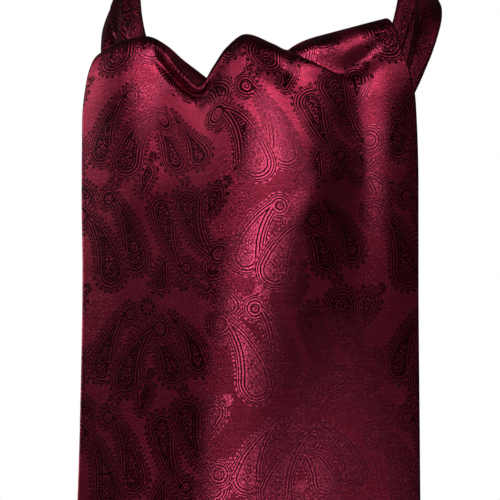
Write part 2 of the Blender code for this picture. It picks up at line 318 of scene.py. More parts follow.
def fold_relief(across, along):
    """How far the front blade's folds stand out at one place, in millimetres."""
    relief = 0.0
    for fold in FOLDS:
        reach = span(along, fold["come"]) * (1.0 - span(along, fold["go"]))
        progress = span(along, (fold["come"][0], fold["go"][1]))
        middle = fold["across"] + fold["drift"] * progress
        relief += fold["out"] * reach * bell(across - middle, fold["width"])
    return relief + sum(crease_relief(crease, across, along) for crease in CREASES)


def front_point(across, along):
    """A point on the front blade: across is where its thread crosses the ridge."""
    share = (across - RIDGE_LEFT) / (RIDGE_RIGHT - RIDGE_LEFT)
    left = FALL.at(along, "left")
    x = left + (FALL.at(along, "right") - left) * share
    z = FALL.at(along, "level") + FALL.at(along, "crest") * RIDGE.at(across, "rise")
    forward = FALL.at(along, "forward") + fold_relief(across, along)
    forward -= FALL.at(along, "arch") * (abs(x) / CHEST_HALF_WIDTH) ** 2
    forward += FALL.at(along, "gather") * math.sin(share * GATHER_COUNT * 2.0 * math.pi)
    past_lap = across - LAP.at(along, "across")
    turned = ease(past_lap / LAP_TURN)
    settle = math.exp(-max(0.0, past_lap - LAP_TURN) / LAP_FADE)
    lip = LAP_LIP_SHARE * bell(past_lap - LAP_LIP_PLACE, LAP_LIP_WIDTH)
    x -= LAP.at(along, "under") * turned * settle
    hidden = math.exp(-max(0.0, past_lap - LAP_TURN) / LAP_DIP_FADE)
    depth = min(1.0, LAP.at(along, "step") / LAP_DIP_STEP)
    z -= LAP_DIP * FALL.at(along, "crest") * turned * hidden * depth
    forward += LAP.at(along, "step") * (lip - (1.0 - LAP_LIP_SHARE) * turned * settle)
    return Vector((x, -forward, z)) * MM


def spaced(points, count):
    """The same line with count points at equal distances."""
    reach = [0.0]
    for before, after in zip(points, points[1:]):
        reach.append(reach[-1] + (after - before).length)
    line = []
    index = 0
    for step in range(count):
        wanted = reach[-1] * step / (count - 1)
        while index < len(points) - 2 and reach[index + 1] < wanted:
            index += 1
        share = (wanted - reach[index]) / (reach[index + 1] - reach[index])
        line.append(points[index].lerp(points[index + 1], min(1.0, share)))
    return line


def pointed(along, side, start, whole):
    """The fall reached at one side of a section: towards the foot the sides end higher."""
    progress = max(0.0, (along - start) / (whole - start))
    return along - POINT_RISE * abs(side) * progress ** POINT_CURVE


def front_section(along, count):
    """A line across the front blade, with its points an equal length of cloth apart."""
    line = []
    for step in range(FINE_STEPS + 1):
        share = step / FINE_STEPS
        across = RIDGE_LEFT + (RIDGE_RIGHT - RIDGE_LEFT) * share
        fall = pointed(along, 2.0 * share - 1.0, FRONT_POINT_START, FALL.rows[-1][0])
        line.append(front_point(across, fall))
    return spaced(line, count)


def strip_point(table, along, side):
    """A point of a strip that bends in its own plane: side runs from -1 to 1."""
    tilt = math.radians(table.at(along, "tilt"))
    reach = side * table.at(along, "width") * 0.5
    forward = table.at(along, "forward")
    if "arch" in table.names:
        forward -= table.at(along, "arch") * side * side
    x = table.at(along, "x") + reach * math.cos(tilt)
    z = table.at(along, "level") + reach * math.sin(tilt)
    return Vector((x, -forward, z)) * MM


def neck_curve(turn):
    """The upper edge's place round the neck and the way out from it, seen from above."""
    power = 2.0 / NECK_SQUARENESS
    angle = math.radians(turn)
    sine, cosine = math.sin(angle), math.cos(angle)
    x = NECK_HALF_WIDTH * math.copysign(abs(sine) ** power, sine)
    y = -NECK_HALF_DEPTH * (1.0 - math.copysign(abs(cosine) ** power, cosine))
    slope = 2.0 - power
    out_x = math.copysign(abs(sine) ** slope, sine) / NECK_HALF_WIDTH
    out_y = math.copysign(abs(cosine) ** slope, cosine) / NECK_HALF_DEPTH
    return Vector((x, y, 0.0)), Vector((out_x, out_y, 0.0)).normalized()


# Gathers of the neckband: the turn and the share of the width at each end of a fold, half its width
# as a share, and how far it stands out. In the distance from a fold, the fold turn counts for one whole
# width. The end share is what is left of a fold at its ends. A faint ripple runs over them all.
BAND_FOLD_TURN = 60.0
BAND_FOLD_END_SHARE = 0.4
BAND_RIPPLE = 0.25
BAND_RIPPLE_SCALE = (0.06, 4.0)
BAND_RIPPLE_SEED = 1.7
BAND_FOLDS = (
    dict(start=(-118.0, 0.62), end=(-82.0, 0.18), width=0.07, out=2.2),
    dict(start=(-112.0, 0.98), end=(-86.0, 0.66), width=0.1, out=3.0),
    dict(start=(-106.0, 0.8), end=(-84.0, 0.44), width=0.07, out=-1.8),
    dict(start=(-76.0, 0.5), end=(-30.0, 0.3), width=0.09, out=1.0),
    dict(start=(-60.0, 0.8), end=(-8.0, 0.7), width=0.08, out=-0.8),
    dict(start=(6.0, 0.42), end=(48.0, 0.55), width=0.09, out=1.0),
    dict(start=(50.0, 0.2), end=(84.0, 0.34), width=0.07, out=-1.0),
    dict(start=(76.0, 0.12), end=(122.0, 0.5), width=0.06, out=2.0),
    dict(start=(80.0, 0.34), end=(112.0, 0.72), width=0.1, out=-2.4),
    dict(start=(82.0, 0.74), end=(108.0, 0.98), width=0.09, out=2.6),
    dict(start=(124.0, 0.3), end=(148.0, 0.5), width=0.1, out=1.2),
    dict(start=(-146.0, 0.5), end=(-124.0, 0.4), width=0.1, out=1.2),
)


def band_relief(turn, share):
    """How far the neckband's gathers stand out at one place, in millimetres."""
    turn_scale, share_scale = BAND_RIPPLE_SCALE
    ripple_place = Vector((turn * turn_scale, share * share_scale, BAND_RIPPLE_SEED))
    relief = BAND_RIPPLE * noise.noise(ripple_place)
    place = Vector((turn / BAND_FOLD_TURN, share))
    for fold in BAND_FOLDS:
        (start_turn, start_share), (end_turn, end_share) = fold["start"], fold["end"]
        start = Vector((start_turn / BAND_FOLD_TURN, start_share))
        end = Vector((end_turn / BAND_FOLD_TURN, end_share))
        off, reach = beside(place, start, end)
        swell = BAND_FOLD_END_SHARE + (1.0 - BAND_FOLD_END_SHARE) * math.sin(math.pi * reach)
        relief += fold["out"] * bell(off, fold["width"]) * swell
    return relief


def cloth_grid(name, sections, cloth, wall):
    """A sheet through sections. cloth holds each point's place on the flat cloth, in metres.

    Its vertices keep how far the cloth there turns from the front or the back, as "turned", which the
    silk uses to paint shade on the motifs.
    """
    rows, columns = len(sections), len(sections[0])
    grid = bmesh.new()
    places = grid.loops.layers.uv.new("cloth")
    turned = grid.verts.layers.float.new("turned")
    bmesh.ops.create_grid(grid, x_segments=columns - 1, y_segments=rows - 1, size=0.5)
    flat = {}
    for vertex in grid.verts:
        column = round((vertex.co.x + 0.5) * (columns - 1))
        row = round((0.5 - vertex.co.y) * (rows - 1))
        vertex.co = sections[row][column]
        flat[vertex] = cloth[row][column]
    for face in grid.faces:
        for loop in face.loops:
            loop[places].uv = flat[loop.vert]
    grid.normal_update()
    for vertex in grid.verts:
        vertex[turned] = 1.0 - abs(vertex.normal.y)
    mesh = bpy.data.meshes.new(name)
    grid.to_mesh(mesh)
    grid.free()
    mesh.shade_smooth()
    piece = bpy.data.objects.new(name, mesh)
    bpy.context.scene.collection.objects.link(piece)
    shell = piece.modifiers.new("cloth wall", "SOLIDIFY")
    shell.thickness = wall
    shell.offset = 0.0
    return piece


# Width over which the edge of a woven line fades, in millimetres of the repeat
THREAD_EDGE = 0.22


class Wire:
    """A number in a node tree. Arithmetic on it adds Math nodes."""

    def __init__(self, tree, source):
        self.tree = tree
        self.source = source

    def math(self, operation, *others, clamp=False):
        node = self.tree.nodes.new("ShaderNodeMath")
        node.operation = operation
        node.use_clamp = clamp
        for socket, value in zip(node.inputs, (self, *others)):
            if isinstance(value, Wire):
                self.tree.links.new(value.source, socket)
            else:
                socket.default_value = value
        return Wire(self.tree, node.outputs[0])

    def __add__(self, other):
        return self.math("ADD", other)

    def __sub__(self, other):
        return self.math("SUBTRACT", other)

    def __mul__(self, other):
        return self.math("MULTIPLY", other)

    def __truediv__(self, other):
        return self.math("DIVIDE", other)

    __radd__ = __add__
    __rmul__ = __mul__

    def __rsub__(self, other):
        return (self * -1.0) + other

    def size(self):
        return self.math("ABSOLUTE")

    def root(self):
        return self.math("SQRT")

    def less(self, other):
        return self.math("LESS_THAN", other)

    def more(self, other):
        return self.math("GREATER_THAN", other)

    def least(self, other):
        return self.math("MINIMUM", other)

    def most(self, other):
        return self.math("MAXIMUM", other)

    def within(self, reach):
        """The number wrapped round into plus or minus reach."""
        return self.math("WRAP", reach, reach * -1.0)

    def line(self, middle, half, soft=THREAD_EDGE):
        """A thread's mask: 1 within half of the middle, fading over soft."""
        outside = (self - middle).size() - half
        return (1.0 - outside / soft).math("ADD", 0.0, clamp=True)

    def inside(self, limit, soft=THREAD_EDGE):
        """1 where the number is below the limit, fading over soft."""
        return ((limit - self) / soft).math("ADD", 0.0, clamp=True)


def new_group(name, inputs, outputs):
    """A shader node group: inputs and outputs are (name, socket type) pairs."""
    tree = bpy.data.node_groups.new(name, "ShaderNodeTree")
    for label, kind in inputs:
        tree.interface.new_socket(name=label, in_out="INPUT", socket_type=kind)
    for label, kind in outputs:
        tree.interface.new_socket(name=label, in_out="OUTPUT", socket_type=kind)
    start = tree.nodes.new("NodeGroupInput")
    finish = tree.nodes.new("NodeGroupOutput")
    return tree, start, finish


FLOAT = "NodeSocketFloat"
VECTOR = "NodeSocketVector"
COLOUR = "NodeSocketColor"


def parts_of(tree, vector):
    """The x and y of a vector socket, as wires."""
    split = tree.nodes.new("ShaderNodeSeparateXYZ")
    tree.links.new(vector, split.inputs[0])
    return Wire(tree, split.outputs["X"]), Wire(tree, split.outputs["Y"])


def joined(tree, *wires):
    """A vector socket from up to three wires."""
    join = tree.nodes.new("ShaderNodeCombineXYZ")
    for wire, socket in zip(wires, join.inputs):
        tree.links.new(wire.source, socket)
    return join.outputs[0]


def turned_by(tree, vector, angle):
    """A vector socket turned about Z by the angle in another socket."""
    turn = tree.nodes.new("ShaderNodeVectorRotate")
    turn.rotation_type = "Z_AXIS"
    tree.links.new(vector, turn.inputs["Vector"])
    tree.links.new(angle, turn.inputs["Angle"])
    return turn.outputs[0]


def stretched(tree, vector, scale, turn=0.0):
    """A vector socket scaled, and turned about Z after that."""
    stretch = tree.nodes.new("ShaderNodeMapping")
    stretch.inputs["Rotation"].default_value = (0.0, 0.0, turn)
    stretch.inputs["Scale"].default_value = scale
    tree.links.new(vector, stretch.inputs["Vector"])
    return stretch.outputs[0]


# The pattern's repeat, and the sockets that place one motif in it
REPEAT_WIDE = 78.0
REPEAT_HIGH = 104.0
PLACING = (("Cloth", VECTOR), ("Across", FLOAT), ("Up", FLOAT), ("Turn", FLOAT))


def placed(tree, start):
    """The cloth's place seen from one motif of a half-drop repeat."""
    u, v = parts_of(tree, start.outputs["Cloth"])
    shifted = u - Wire(tree, start.outputs["Across"])
    near = shifted.within(REPEAT_WIDE * 0.5)
    column = (shifted - near) / REPEAT_WIDE
    height = v - Wire(tree, start.outputs["Up"]) - column * (REPEAT_HIGH * 0.5)
    place = joined(tree, near, height.within(REPEAT_HIGH * 0.5))
    return turned_by(tree, place, start.outputs["Turn"])


# A paisley's own measures, in millimetres of the repeat: the pitch of the curl at its tip, the ring of
# beads round it and the space that it keeps. Its tail is rounded off at a share of the length.
COIL_PITCH = 1.45
BEAD_OUT = 3.7
BEAD_HALF_STEP = 1.05
BEAD_RADIUS = 0.74
KEPT_SPACE = 4.6
TAIL_SHARE = 0.94


def paisley_group():
    """A bent teardrop with a curled tip: thread lines, filled heart, painted shadow beside its edges and
    between its flecks, and the space it keeps.
    """
    tree, start, finish = new_group(
        "paisley",
        (
            *PLACING,
            ("Fleck", FLOAT),
            ("Bulb", FLOAT),
            ("Tail", FLOAT),
            ("Bend", FLOAT),
            ("Tip", VECTOR),
            ("Hook", FLOAT),
        ),
        (("Thread", FLOAT), ("Body", FLOAT), ("Painted motif shadow", FLOAT)),
    )
    place = placed(tree, start)
    reach = tree.nodes.new("ShaderNodeVectorMath")
    reach.operation = "LENGTH"
    tree.links.new(place, reach.inputs[0])
    radius = Wire(tree, reach.outputs["Value"])
    bulb = Wire(tree, start.outputs["Bulb"])
    tail = Wire(tree, start.outputs["Tail"])
    reach_limit = tail * TAIL_SHARE
    swing = radius * Wire(tree, start.outputs["Bend"])
    x, y = parts_of(tree, turned_by(tree, place, swing.source))
    x = x.size()
    sine = bulb / tail
    cosine = (1.0 - sine * sine).root()
    along = cosine * y - sine * x
    flank = cosine * x + sine * y - bulb
    round_end = along.less(0.0)
    drop = (flank + round_end * (radius - bulb - flank)).most(radius - reach_limit)
    angle = y.math("ARCTAN2", x) - sine.math("ARCSINE")
    course = along + round_end * (bulb * angle - along)

    from_tip = tree.nodes.new("ShaderNodeVectorMath")
    from_tip.operation = "SUBTRACT"
    tree.links.new(place, from_tip.inputs[0])
    tree.links.new(start.outputs["Tip"], from_tip.inputs[1])
    tip_x, tip_y = parts_of(tree, from_tip.outputs[0])
    hook = Wire(tree, start.outputs["Hook"])
    tip_radius = (tip_x * tip_x + tip_y * tip_y).root()
    tip_turn = tip_y.math("ARCTAN2", tip_x) * (COIL_PITCH / (2.0 * math.pi))
    coil = (tip_radius - tip_turn).within(COIL_PITCH / 2.0).line(0.0, 0.2) * tip_radius.inside(hook)
    edge = drop.least(tip_radius - hook)

    # Lines and gaps by how far they lie outside the motif's edge, or inside it where that is below 0
    bead_out = (edge - BEAD_OUT).math("POWER", 2.0)
    bead_along = course.within(BEAD_HALF_STEP).math("POWER", 2.0)
    border = (bead_out + bead_along).root().inside(BEAD_RADIUS)
    outline = edge.line(0.0, 0.42)
    echo = edge.line(1.5, 0.3).most(edge.line(2.65, 0.2))
    inner = drop.line(-1.4, 0.3)
    ticks = course.within(0.75).line(0.0, 0.34) * drop.line(bulb * -0.34, bulb * 0.1)
    second = drop.line(bulb * -0.5, 0.28)
    heart = (y - x * 0.9).within(1.0).line(0.0, 0.42) * drop.inside(bulb * -0.62)
    leaves = Wire(tree, start.outputs["Fleck"])
    fleck = leaves * drop.inside(-1.3)
    lines = border.most(outline).most(echo).most(inner).most(ticks).most(second).most(heart)
    thread = lines.most(coil).most(fleck)
    # Painted shadow: dark rings just beside the motif's edge, and a half shadow in its heart between the
    # flecks, standing in for the shade beside raised threads
    painted_motif_shadow = edge.line(0.82, 0.22).most(edge.line(-0.8, 0.24)).most(edge.line(2.1, 0.16))
    painted_motif_shadow = painted_motif_shadow.most(edge.line(3.1, 0.14))
    painted_motif_shadow = painted_motif_shadow.most(drop.inside(-1.7) * (1.0 - leaves) * 0.5)
    tree.links.new(thread.source, finish.inputs["Thread"])
    tree.links.new(painted_motif_shadow.source, finish.inputs["Painted motif shadow"])
    tree.links.new(edge.inside(KEPT_SPACE).source, finish.inputs["Body"])
    return tree


def flower_group():
    """A round flower: scalloped petals, spokes and a ringed eye."""
    tree, start, finish = new_group(
        "flower",
        (*PLACING, ("Size", FLOAT), ("Petals", FLOAT)),
        (("Thread", FLOAT), ("Body", FLOAT)),
    )
    x, y = parts_of(tree, placed(tree, start))
    size = Wire(tree, start.outputs["Size"])
    radius = (x * x + y * y).root()
    wave = (y.math("ARCTAN2", x) * Wire(tree, start.outputs["Petals"]) * 0.5).math("COSINE").size()
    edge = radius - size * (0.7 + wave * 0.3)
    spokes = wave.more(0.45) * radius.line(size * 0.58, size * 0.17)
    petals = edge.line(0.0, 0.22)
    eye = radius.line(size * 0.28, 0.2)
    dot = radius.inside(size * 0.12)
    thread = spokes.most(petals).most(eye).most(dot)
    tree.links.new(thread.source, finish.inputs["Thread"])
    tree.links.new(edge.inside(0.8).source, finish.inputs["Body"])
    return tree


# The repeat's motifs, from the nearest layer down: where each one's bulb or eye sits, which way it
# points, and its sizes. A paisley's hook is the radius of the curl at its tip. The curl's middle is at
# the tip reach, a share of the tail, and at the tip side, a share of the hook.
TIP_REACH = 0.98
TIP_SIDE = 0.9
PAISLEYS = (
    dict(across=17.0, up=14.0, turn=4.0, bulb=6.6, tail=33.0, bend=-0.012, hook=3.8),
    dict(across=31.0, up=20.0, turn=2.0, bulb=5.8, tail=33.0, bend=-0.011, hook=2.8),
    dict(across=60.0, up=50.0, turn=184.0, bulb=6.4, tail=32.0, bend=-0.012, hook=3.5),
    dict(across=46.5, up=44.0, turn=182.0, bulb=5.6, tail=31.0, bend=-0.011, hook=2.6),
    dict(across=26.0, up=67.0, turn=-10.0, bulb=6.2, tail=31.0, bend=0.013, hook=3.5),
    dict(across=12.0, up=73.0, turn=-8.0, bulb=5.6, tail=30.0, bend=0.012, hook=2.7),
    dict(across=52.0, up=72.0, turn=14.0, bulb=5.4, tail=25.0, bend=-0.018, hook=3.0),
    dict(across=66.0, up=76.0, turn=10.0, bulb=4.8, tail=24.0, bend=-0.018, hook=2.3),
    dict(across=74.0, up=16.0, turn=-20.0, bulb=4.4, tail=19.0, bend=0.026, hook=2.3),
    dict(across=74.0, up=52.0, turn=172.0, bulb=3.8, tail=16.0, bend=0.03, hook=1.9),
    dict(across=4.0, up=50.0, turn=20.0, bulb=3.6, tail=15.0, bend=-0.03, hook=1.8),
    dict(across=45.0, up=9.0, turn=-14.0, bulb=3.0, tail=11.0, bend=0.0, hook=0.6),
    dict(across=37.0, up=62.0, turn=170.0, bulb=2.5, tail=9.0, bend=0.0, hook=0.6),
    dict(across=57.0, up=12.0, turn=12.0, bulb=2.6, tail=10.0, bend=0.0, hook=0.6),
    dict(across=43.0, up=93.0, turn=-150.0, bulb=2.8, tail=10.0, bend=0.0, hook=0.6),
)
FLOWERS = (
    dict(across=38.0, up=101.0, turn=10.0, size=5.6, petals=9.0),
    dict(across=20.0, up=57.0, turn=0.0, size=4.2, petals=8.0),
    dict(across=58.0, up=62.0, turn=0.0, size=3.6, petals=8.0),
    dict(across=66.0, up=8.0, turn=0.0, size=3.6, petals=8.0),
    dict(across=3.0, up=6.0, turn=0.0, size=2.6, petals=6.0),
    dict(across=40.0, up=70.0, turn=0.0, size=2.4, petals=6.0),
    dict(across=0.0, up=34.0, turn=0.0, size=3.0, petals=7.0),
)


def flecks_of(tree, cloth):
    """Small leaf shaped marks that fill the motifs' hearts."""
    cells = tree.nodes.new("ShaderNodeTexVoronoi")
    cells.voronoi_dimensions = "2D"
    cells.inputs["Scale"].default_value = 0.85
    cells.inputs["Randomness"].default_value = 0.75
    tree.links.new(stretched(tree, cloth, (0.95, 0.6, 1.0), turn=0.6), cells.inputs["Vector"])
    return Wire(tree, cells.outputs["Distance"]).inside(0.43, 0.12)


def tip_of(row):
    """The middle of a paisley's curl, as seen from the middle of its bulb."""
    reach = row["tail"] * TIP_REACH
    swing = row["bend"] * reach
    side = math.copysign(row["hook"], row["bend"]) * TIP_SIDE
    return Vector((
        reach * math.sin(swing) + side * math.cos(swing),
        reach * math.cos(swing) - side * math.sin(swing),
        0.0,
    ))


def jacquard_group():
    """The whole weave: where the motif's threads float, and the painted shadow beside them, from the
    cloth's place in millimetres.
    """
    tree, start, finish = new_group(
        "paisley jacquard", (("Cloth", VECTOR),), (("Motif", FLOAT), ("Painted motif shadow", FLOAT))
    )
    cloth = start.outputs["Cloth"]
    paisley = paisley_group()
    flower = flower_group()
    fleck = flecks_of(tree, cloth)
    u, v = parts_of(tree, cloth)
    motif = None
    ground = None
    painted_motif_shadow = None
    layers = [(flower, row) for row in FLOWERS[:1]]
    layers += [(paisley, row) for row in PAISLEYS]
    layers += [(flower, row) for row in FLOWERS[1:]]
    for group, row in layers:
        # The ground is passed on as Z, which no motif reads, so that the motifs are worked out in turn
        # and the shader holds few numbers at a time.
        after = joined(tree, u, v) if ground is None else joined(tree, u, v, ground)
        shape = tree.nodes.new("ShaderNodeGroup")
        shape.node_tree = group
        tree.links.new(after, shape.inputs["Cloth"])
        shape.inputs["Across"].default_value = row["across"]
        shape.inputs["Up"].default_value = row["up"]
        shape.inputs["Turn"].default_value = math.radians(-row["turn"])
        if group == paisley:
            tree.links.new(fleck.source, shape.inputs["Fleck"])
            shape.inputs["Tip"].default_value = tip_of(row)
            for name in ("bulb", "tail", "bend", "hook"):
                shape.inputs[name.capitalize()].default_value = row[name]
        else:
            shape.inputs["Size"].default_value = row["size"]
            shape.inputs["Petals"].default_value = row["petals"]
        thread = Wire(tree, shape.outputs["Thread"])
        body = Wire(tree, shape.outputs["Body"])
        if motif is None:
            motif, ground = thread, 1.0 - body
        else:
            motif = motif + thread * ground
            if group == paisley:
                # Painted shadow beside each paisley, on the ground that no nearer motif covers
                shadow = Wire(tree, shape.outputs["Painted motif shadow"]) * ground
                painted_motif_shadow = shadow if painted_motif_shadow is None else painted_motif_shadow + shadow
            ground = ground * (1.0 - body)
    tree.links.new(motif.source, finish.inputs["Motif"])
    tree.links.new(painted_motif_shadow.source, finish.inputs["Painted motif shadow"])
    return tree


def grain_group():
    """The satin's threads: a speckle, weft streaks, and how far each thread leans."""
    tree, start, finish = new_group(
        "silk threads",
        (("Cloth", VECTOR),),
        (("Speckle", FLOAT), ("Streak", FLOAT), ("Lean", COLOUR)),
    )
    cloth = start.outputs["Cloth"]

    def threads(scale, stretch_by, detail):
        texture = tree.nodes.new("ShaderNodeTexNoise")
        texture.noise_dimensions = "2D"
        texture.inputs["Scale"].default_value = scale
        texture.inputs["Detail"].default_value = detail
        tree.links.new(stretched(tree, cloth, stretch_by), texture.inputs["Vector"])
        return texture

    speckle = threads(scale=2.4, stretch_by=(1.0, 0.8, 1.0), detail=3.0)
    streak = threads(scale=1.0, stretch_by=(0.035, 1.9, 1.0), detail=2.0)
    tree.links.new(speckle.outputs["Fac"], finish.inputs["Speckle"])
    tree.links.new(streak.outputs["Fac"], finish.inputs["Streak"])
    tree.links.new(speckle.outputs["Color"], finish.inputs["Lean"])
    return tree


# Shares of the speckle and the streaks in the silk's brightness, and what is taken off their sum
SPECKLE_SHARE = 1.5
STREAK_SHARE = 0.7
BRIGHTNESS_OFF = 0.1

# The most that painted shade darkens a motif, or painted shadow the gap beside it, as a share
DARKEST = 0.95

# Lean of the ground's threads up and down the cloth, as a share of the lean along a thread
GROUND_NARROW = 0.65


def silk_material(name, looks):
    """Silk jacquard: the ground's threads run down the cloth and the motifs' threads across it.

    The motifs get painted shade where the cloth turns from the front or the back, by its "turned"
    values, standing in for their threads' gloss fading as they turn from the front light.
    """
    material = bpy.data.materials.new(name)
    material.use_nodes = True
    tree = material.node_tree
    shader = tree.nodes["Principled BSDF"]
    shader.inputs["Roughness"].default_value = looks.roughness
    shader.inputs["Metallic"].default_value = looks.lustre
    place = tree.nodes.new("ShaderNodeUVMap")
    place.uv_map = "cloth"
    cloth = stretched(tree, place.outputs[0], (1.0 / MM, 1.0 / MM, 1.0 / MM))
    repeat = stretched(tree, cloth, (looks.motif_scale, looks.motif_scale, 1.0))
    weave = tree.nodes.new("ShaderNodeGroup")
    weave.node_tree = bpy.data.node_groups.get("paisley jacquard") or jacquard_group()
    tree.links.new(repeat, weave.inputs["Cloth"])
    motif = Wire(tree, weave.outputs["Motif"])
    painted_motif_shadow = Wire(tree, weave.outputs["Painted motif shadow"])
    threads = tree.nodes.new("ShaderNodeGroup")
    threads.node_tree = bpy.data.node_groups.get("silk threads") or grain_group()
    tree.links.new(cloth, threads.inputs["Cloth"])
    speckle = Wire(tree, threads.outputs["Speckle"])
    streak = Wire(tree, threads.outputs["Streak"])

    colour = tree.nodes.new("ShaderNodeMix")
    colour.data_type = "RGBA"
    colour.inputs["A"].default_value = (*looks.ground_colour, 1.0)
    colour.inputs["B"].default_value = (*looks.motif_colour, 1.0)
    tree.links.new(motif.source, colour.inputs["Factor"])
    shade = tree.nodes.new("ShaderNodeMix")
    shade.data_type = "RGBA"
    shade.blend_type = "MULTIPLY"
    shade.inputs["Factor"].default_value = 1.0
    tree.links.new(colour.outputs["Result"], shade.inputs["A"])
    turned = tree.nodes.new("ShaderNodeAttribute")
    turned.attribute_name = "turned"
    # Painted shade: the motifs darken where the cloth turns from the front or the back, by its "turned"
    # values
    away = (Wire(tree, turned.outputs["Fac"]) * looks.motif_painted_shade).least(DARKEST)
    level = speckle * SPECKLE_SHARE + streak * STREAK_SHARE - BRIGHTNESS_OFF
    # The painted shadow beside the motifs darkens the ground, less where painted shade already darkens
    # the motifs
    level = level * (1.0 - painted_motif_shadow * (DARKEST - away)) * (1.0 - motif * away)
    grey = tree.nodes.new("ShaderNodeCombineColor")
    for channel in grey.inputs:
        tree.links.new(level.source, channel)
    tree.links.new(grey.outputs[0], shade.inputs["B"])
    tree.links.new(shade.outputs["Result"], shader.inputs["Base Color"])

    lean = tree.nodes.new("ShaderNodeSeparateColor")
    tree.links.new(threads.outputs["Lean"], lean.inputs[0])
    lean_x = Wire(tree, lean.outputs["Red"])
    lean_y = Wire(tree, lean.outputs["Green"])
    narrow = looks.thread_lean
    sideways = looks.ground_spread - motif * (looks.ground_spread - narrow)
    across = 0.5 + (lean_x - 0.5) * sideways
    narrowest = looks.thread_lean * GROUND_NARROW
    lengthways = narrowest + motif * (looks.motif_spread - narrowest)
    upward = 0.5 + (lean_y - 0.5) * lengthways + motif * looks.motif_lean
    tilt = tree.nodes.new("ShaderNodeCombineColor")
    tree.links.new(across.source, tilt.inputs["Red"])
    tree.links.new(upward.source, tilt.inputs["Green"])
    tilt.inputs["Blue"].default_value = 1.0
    normal = tree.nodes.new("ShaderNodeNormalMap")
    normal.uv_map = "cloth"
    tree.links.new(tilt.outputs[0], normal.inputs["Color"])
    tree.links.new(normal.outputs[0], shader.inputs["Normal"])
    return material


class SilkLooks(bpy.types.PropertyGroup):
    """Colours and finish of the silk."""

    ground_colour: bpy.props.FloatVectorProperty(
        name="Ground colour",
        description="Colour of the lustrous ground",
        subtype="COLOR",
        size=3,
        default=(0.40, 0.028, 0.070),
    )
    motif_colour: bpy.props.FloatVectorProperty(
        name="Motif colour",
        description="Colour of the woven motifs",
        subtype="COLOR",
        size=3,
        default=(0.62, 0.058, 0.135),
    )
    roughness: bpy.props.FloatProperty(
        name="Roughness", description="How dull the silk is", default=0.33, subtype="FACTOR"
    )
    lustre: bpy.props.FloatProperty(
        name="Lustre", description="How far the gloss takes the silk's colour", default=0.97
    )
    motif_lean: bpy.props.FloatProperty(
        name="Motif lean", description="How far the motifs' threads lean up the cloth", default=0.06
    )
    motif_scale: bpy.props.FloatProperty(
        name="Motif scale", description="How many times the repeat is made smaller", default=1.12
    )
    # Painted shade on the motifs where the cloth turns from the front or the back
    motif_painted_shade: bpy.props.FloatProperty(
        name="Motif turn", description="How fast the motifs darken as they turn away", default=16.0
    )
    thread_lean: bpy.props.FloatProperty(
        name="Thread lean", description="How far light spreads along a thread", default=0.55
    )
    ground_spread: bpy.props.FloatProperty(
        name="Ground spread", description="How far the ground spreads light sideways", default=0.85
    )
    motif_spread: bpy.props.FloatProperty(
        name="Motif spread", description="How far the motifs spread light up and down", default=0.9
    )


class DrapeSizes(bpy.types.PropertyGroup):
    """Sizes of the drape."""

    wall: bpy.props.FloatProperty(
        name="Cloth wall",
        description="Thickness of the folded silk",
        default=1.1 * MM,
        unit="LENGTH",
    )


def sides_of(columns):
    """Evenly spaced places across a strip, from -1 at its left edge to 1 at its right one."""
    return [2.0 * column / (columns - 1) - 1.0 for column in range(columns)]


def dress(piece, node, slot):
    """Gives a finished piece its silk and its place in the frame."""
    piece.data.materials.append(silk_material(slot.replace("_", " "), bpy.context.scene.silk_looks))
    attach(piece, BODY)
    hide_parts(node)


class CRAVAT_OT_front_blade(bpy.types.Operator):
    """Drape the wide blade over the crossing"""

    bl_idname = "cravat.front_blade"
    bl_label = "Front blade"

    def execute(self, context):
        rows, columns = ((250, 168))
        whole = FALL.rows[-1][0]
        sections = []
        cloth = []
        for row in range(rows):
            along = SEAM_GAP + (whole - SEAM_GAP) * (row / (rows - 1)) ** SECTION_SPACING
            sections.append(front_section(along, columns))
            flat = []
            for side in sides_of(columns):
                fall = pointed(along, side, FRONT_POINT_START, whole)
                flat.append(Vector((0.5 * CUT_WIDTH * (side + 1.0), -fall)) * MM)
            cloth.append(flat)
        piece = cloth_grid("front_blade_silk", sections, cloth, context.scene.drape_sizes.wall)
        dress(piece, "front_blade", "blade_silk")
        return {"FINISHED"}


class CRAVAT_OT_under_blade(bpy.types.Operator):
    """Hang the under blade behind the front one"""

    bl_idname = "cravat.under_blade"
    bl_label = "Under blade"

    def execute(self, context):
        rows, columns = 110, 60
        whole = UNDER.rows[-1][0]
        sections = []
        cloth = []
        for row in range(rows):
            along = SEAM_GAP + (whole - SEAM_GAP) * row / (rows - 1)
            line = []
            flat = []
            for side in sides_of(columns):
                fall = pointed(along, side, UNDER_POINT_START, whole)
                line.append(strip_point(UNDER, fall, side))
                across = 0.5 * CUT_WIDTH * (side + 1.0)
                flat.append(Vector((across + UNDER_SHIFT, -fall - UNDER_DROP)) * MM)
            sections.append(line)
            cloth.append(flat)
        piece = cloth_grid("under_blade_silk", sections, cloth, context.scene.drape_sizes.wall)
        dress(piece, "under_blade", "under_silk")
        return {"FINISHED"}


class CRAVAT_OT_cross_wrap(bpy.types.Operator):
    """Pass the right end across the left one and turn it up behind"""

    bl_idname = "cravat.cross_wrap"
    bl_label = "Cross wrap"

    def execute(self, context):
        rows, columns = 100, 28
        whole = WRAP.rows[-1][0]
        sections = []
        cloth = []
        for row in range(rows):
            along = SEAM_GAP + (whole - SEAM_GAP) * row / (rows - 1)
            sections.append([strip_point(WRAP, along, side) for side in sides_of(columns)])
            cloth.append([Vector((side * WRAP_HALF_CUT, -along)) * MM for side in sides_of(columns)])
        piece = cloth_grid("cross_wrap_silk", sections, cloth, WRAP_WALL * MM)
        dress(piece, "cross_wrap", "wrap_silk")
        return {"FINISHED"}


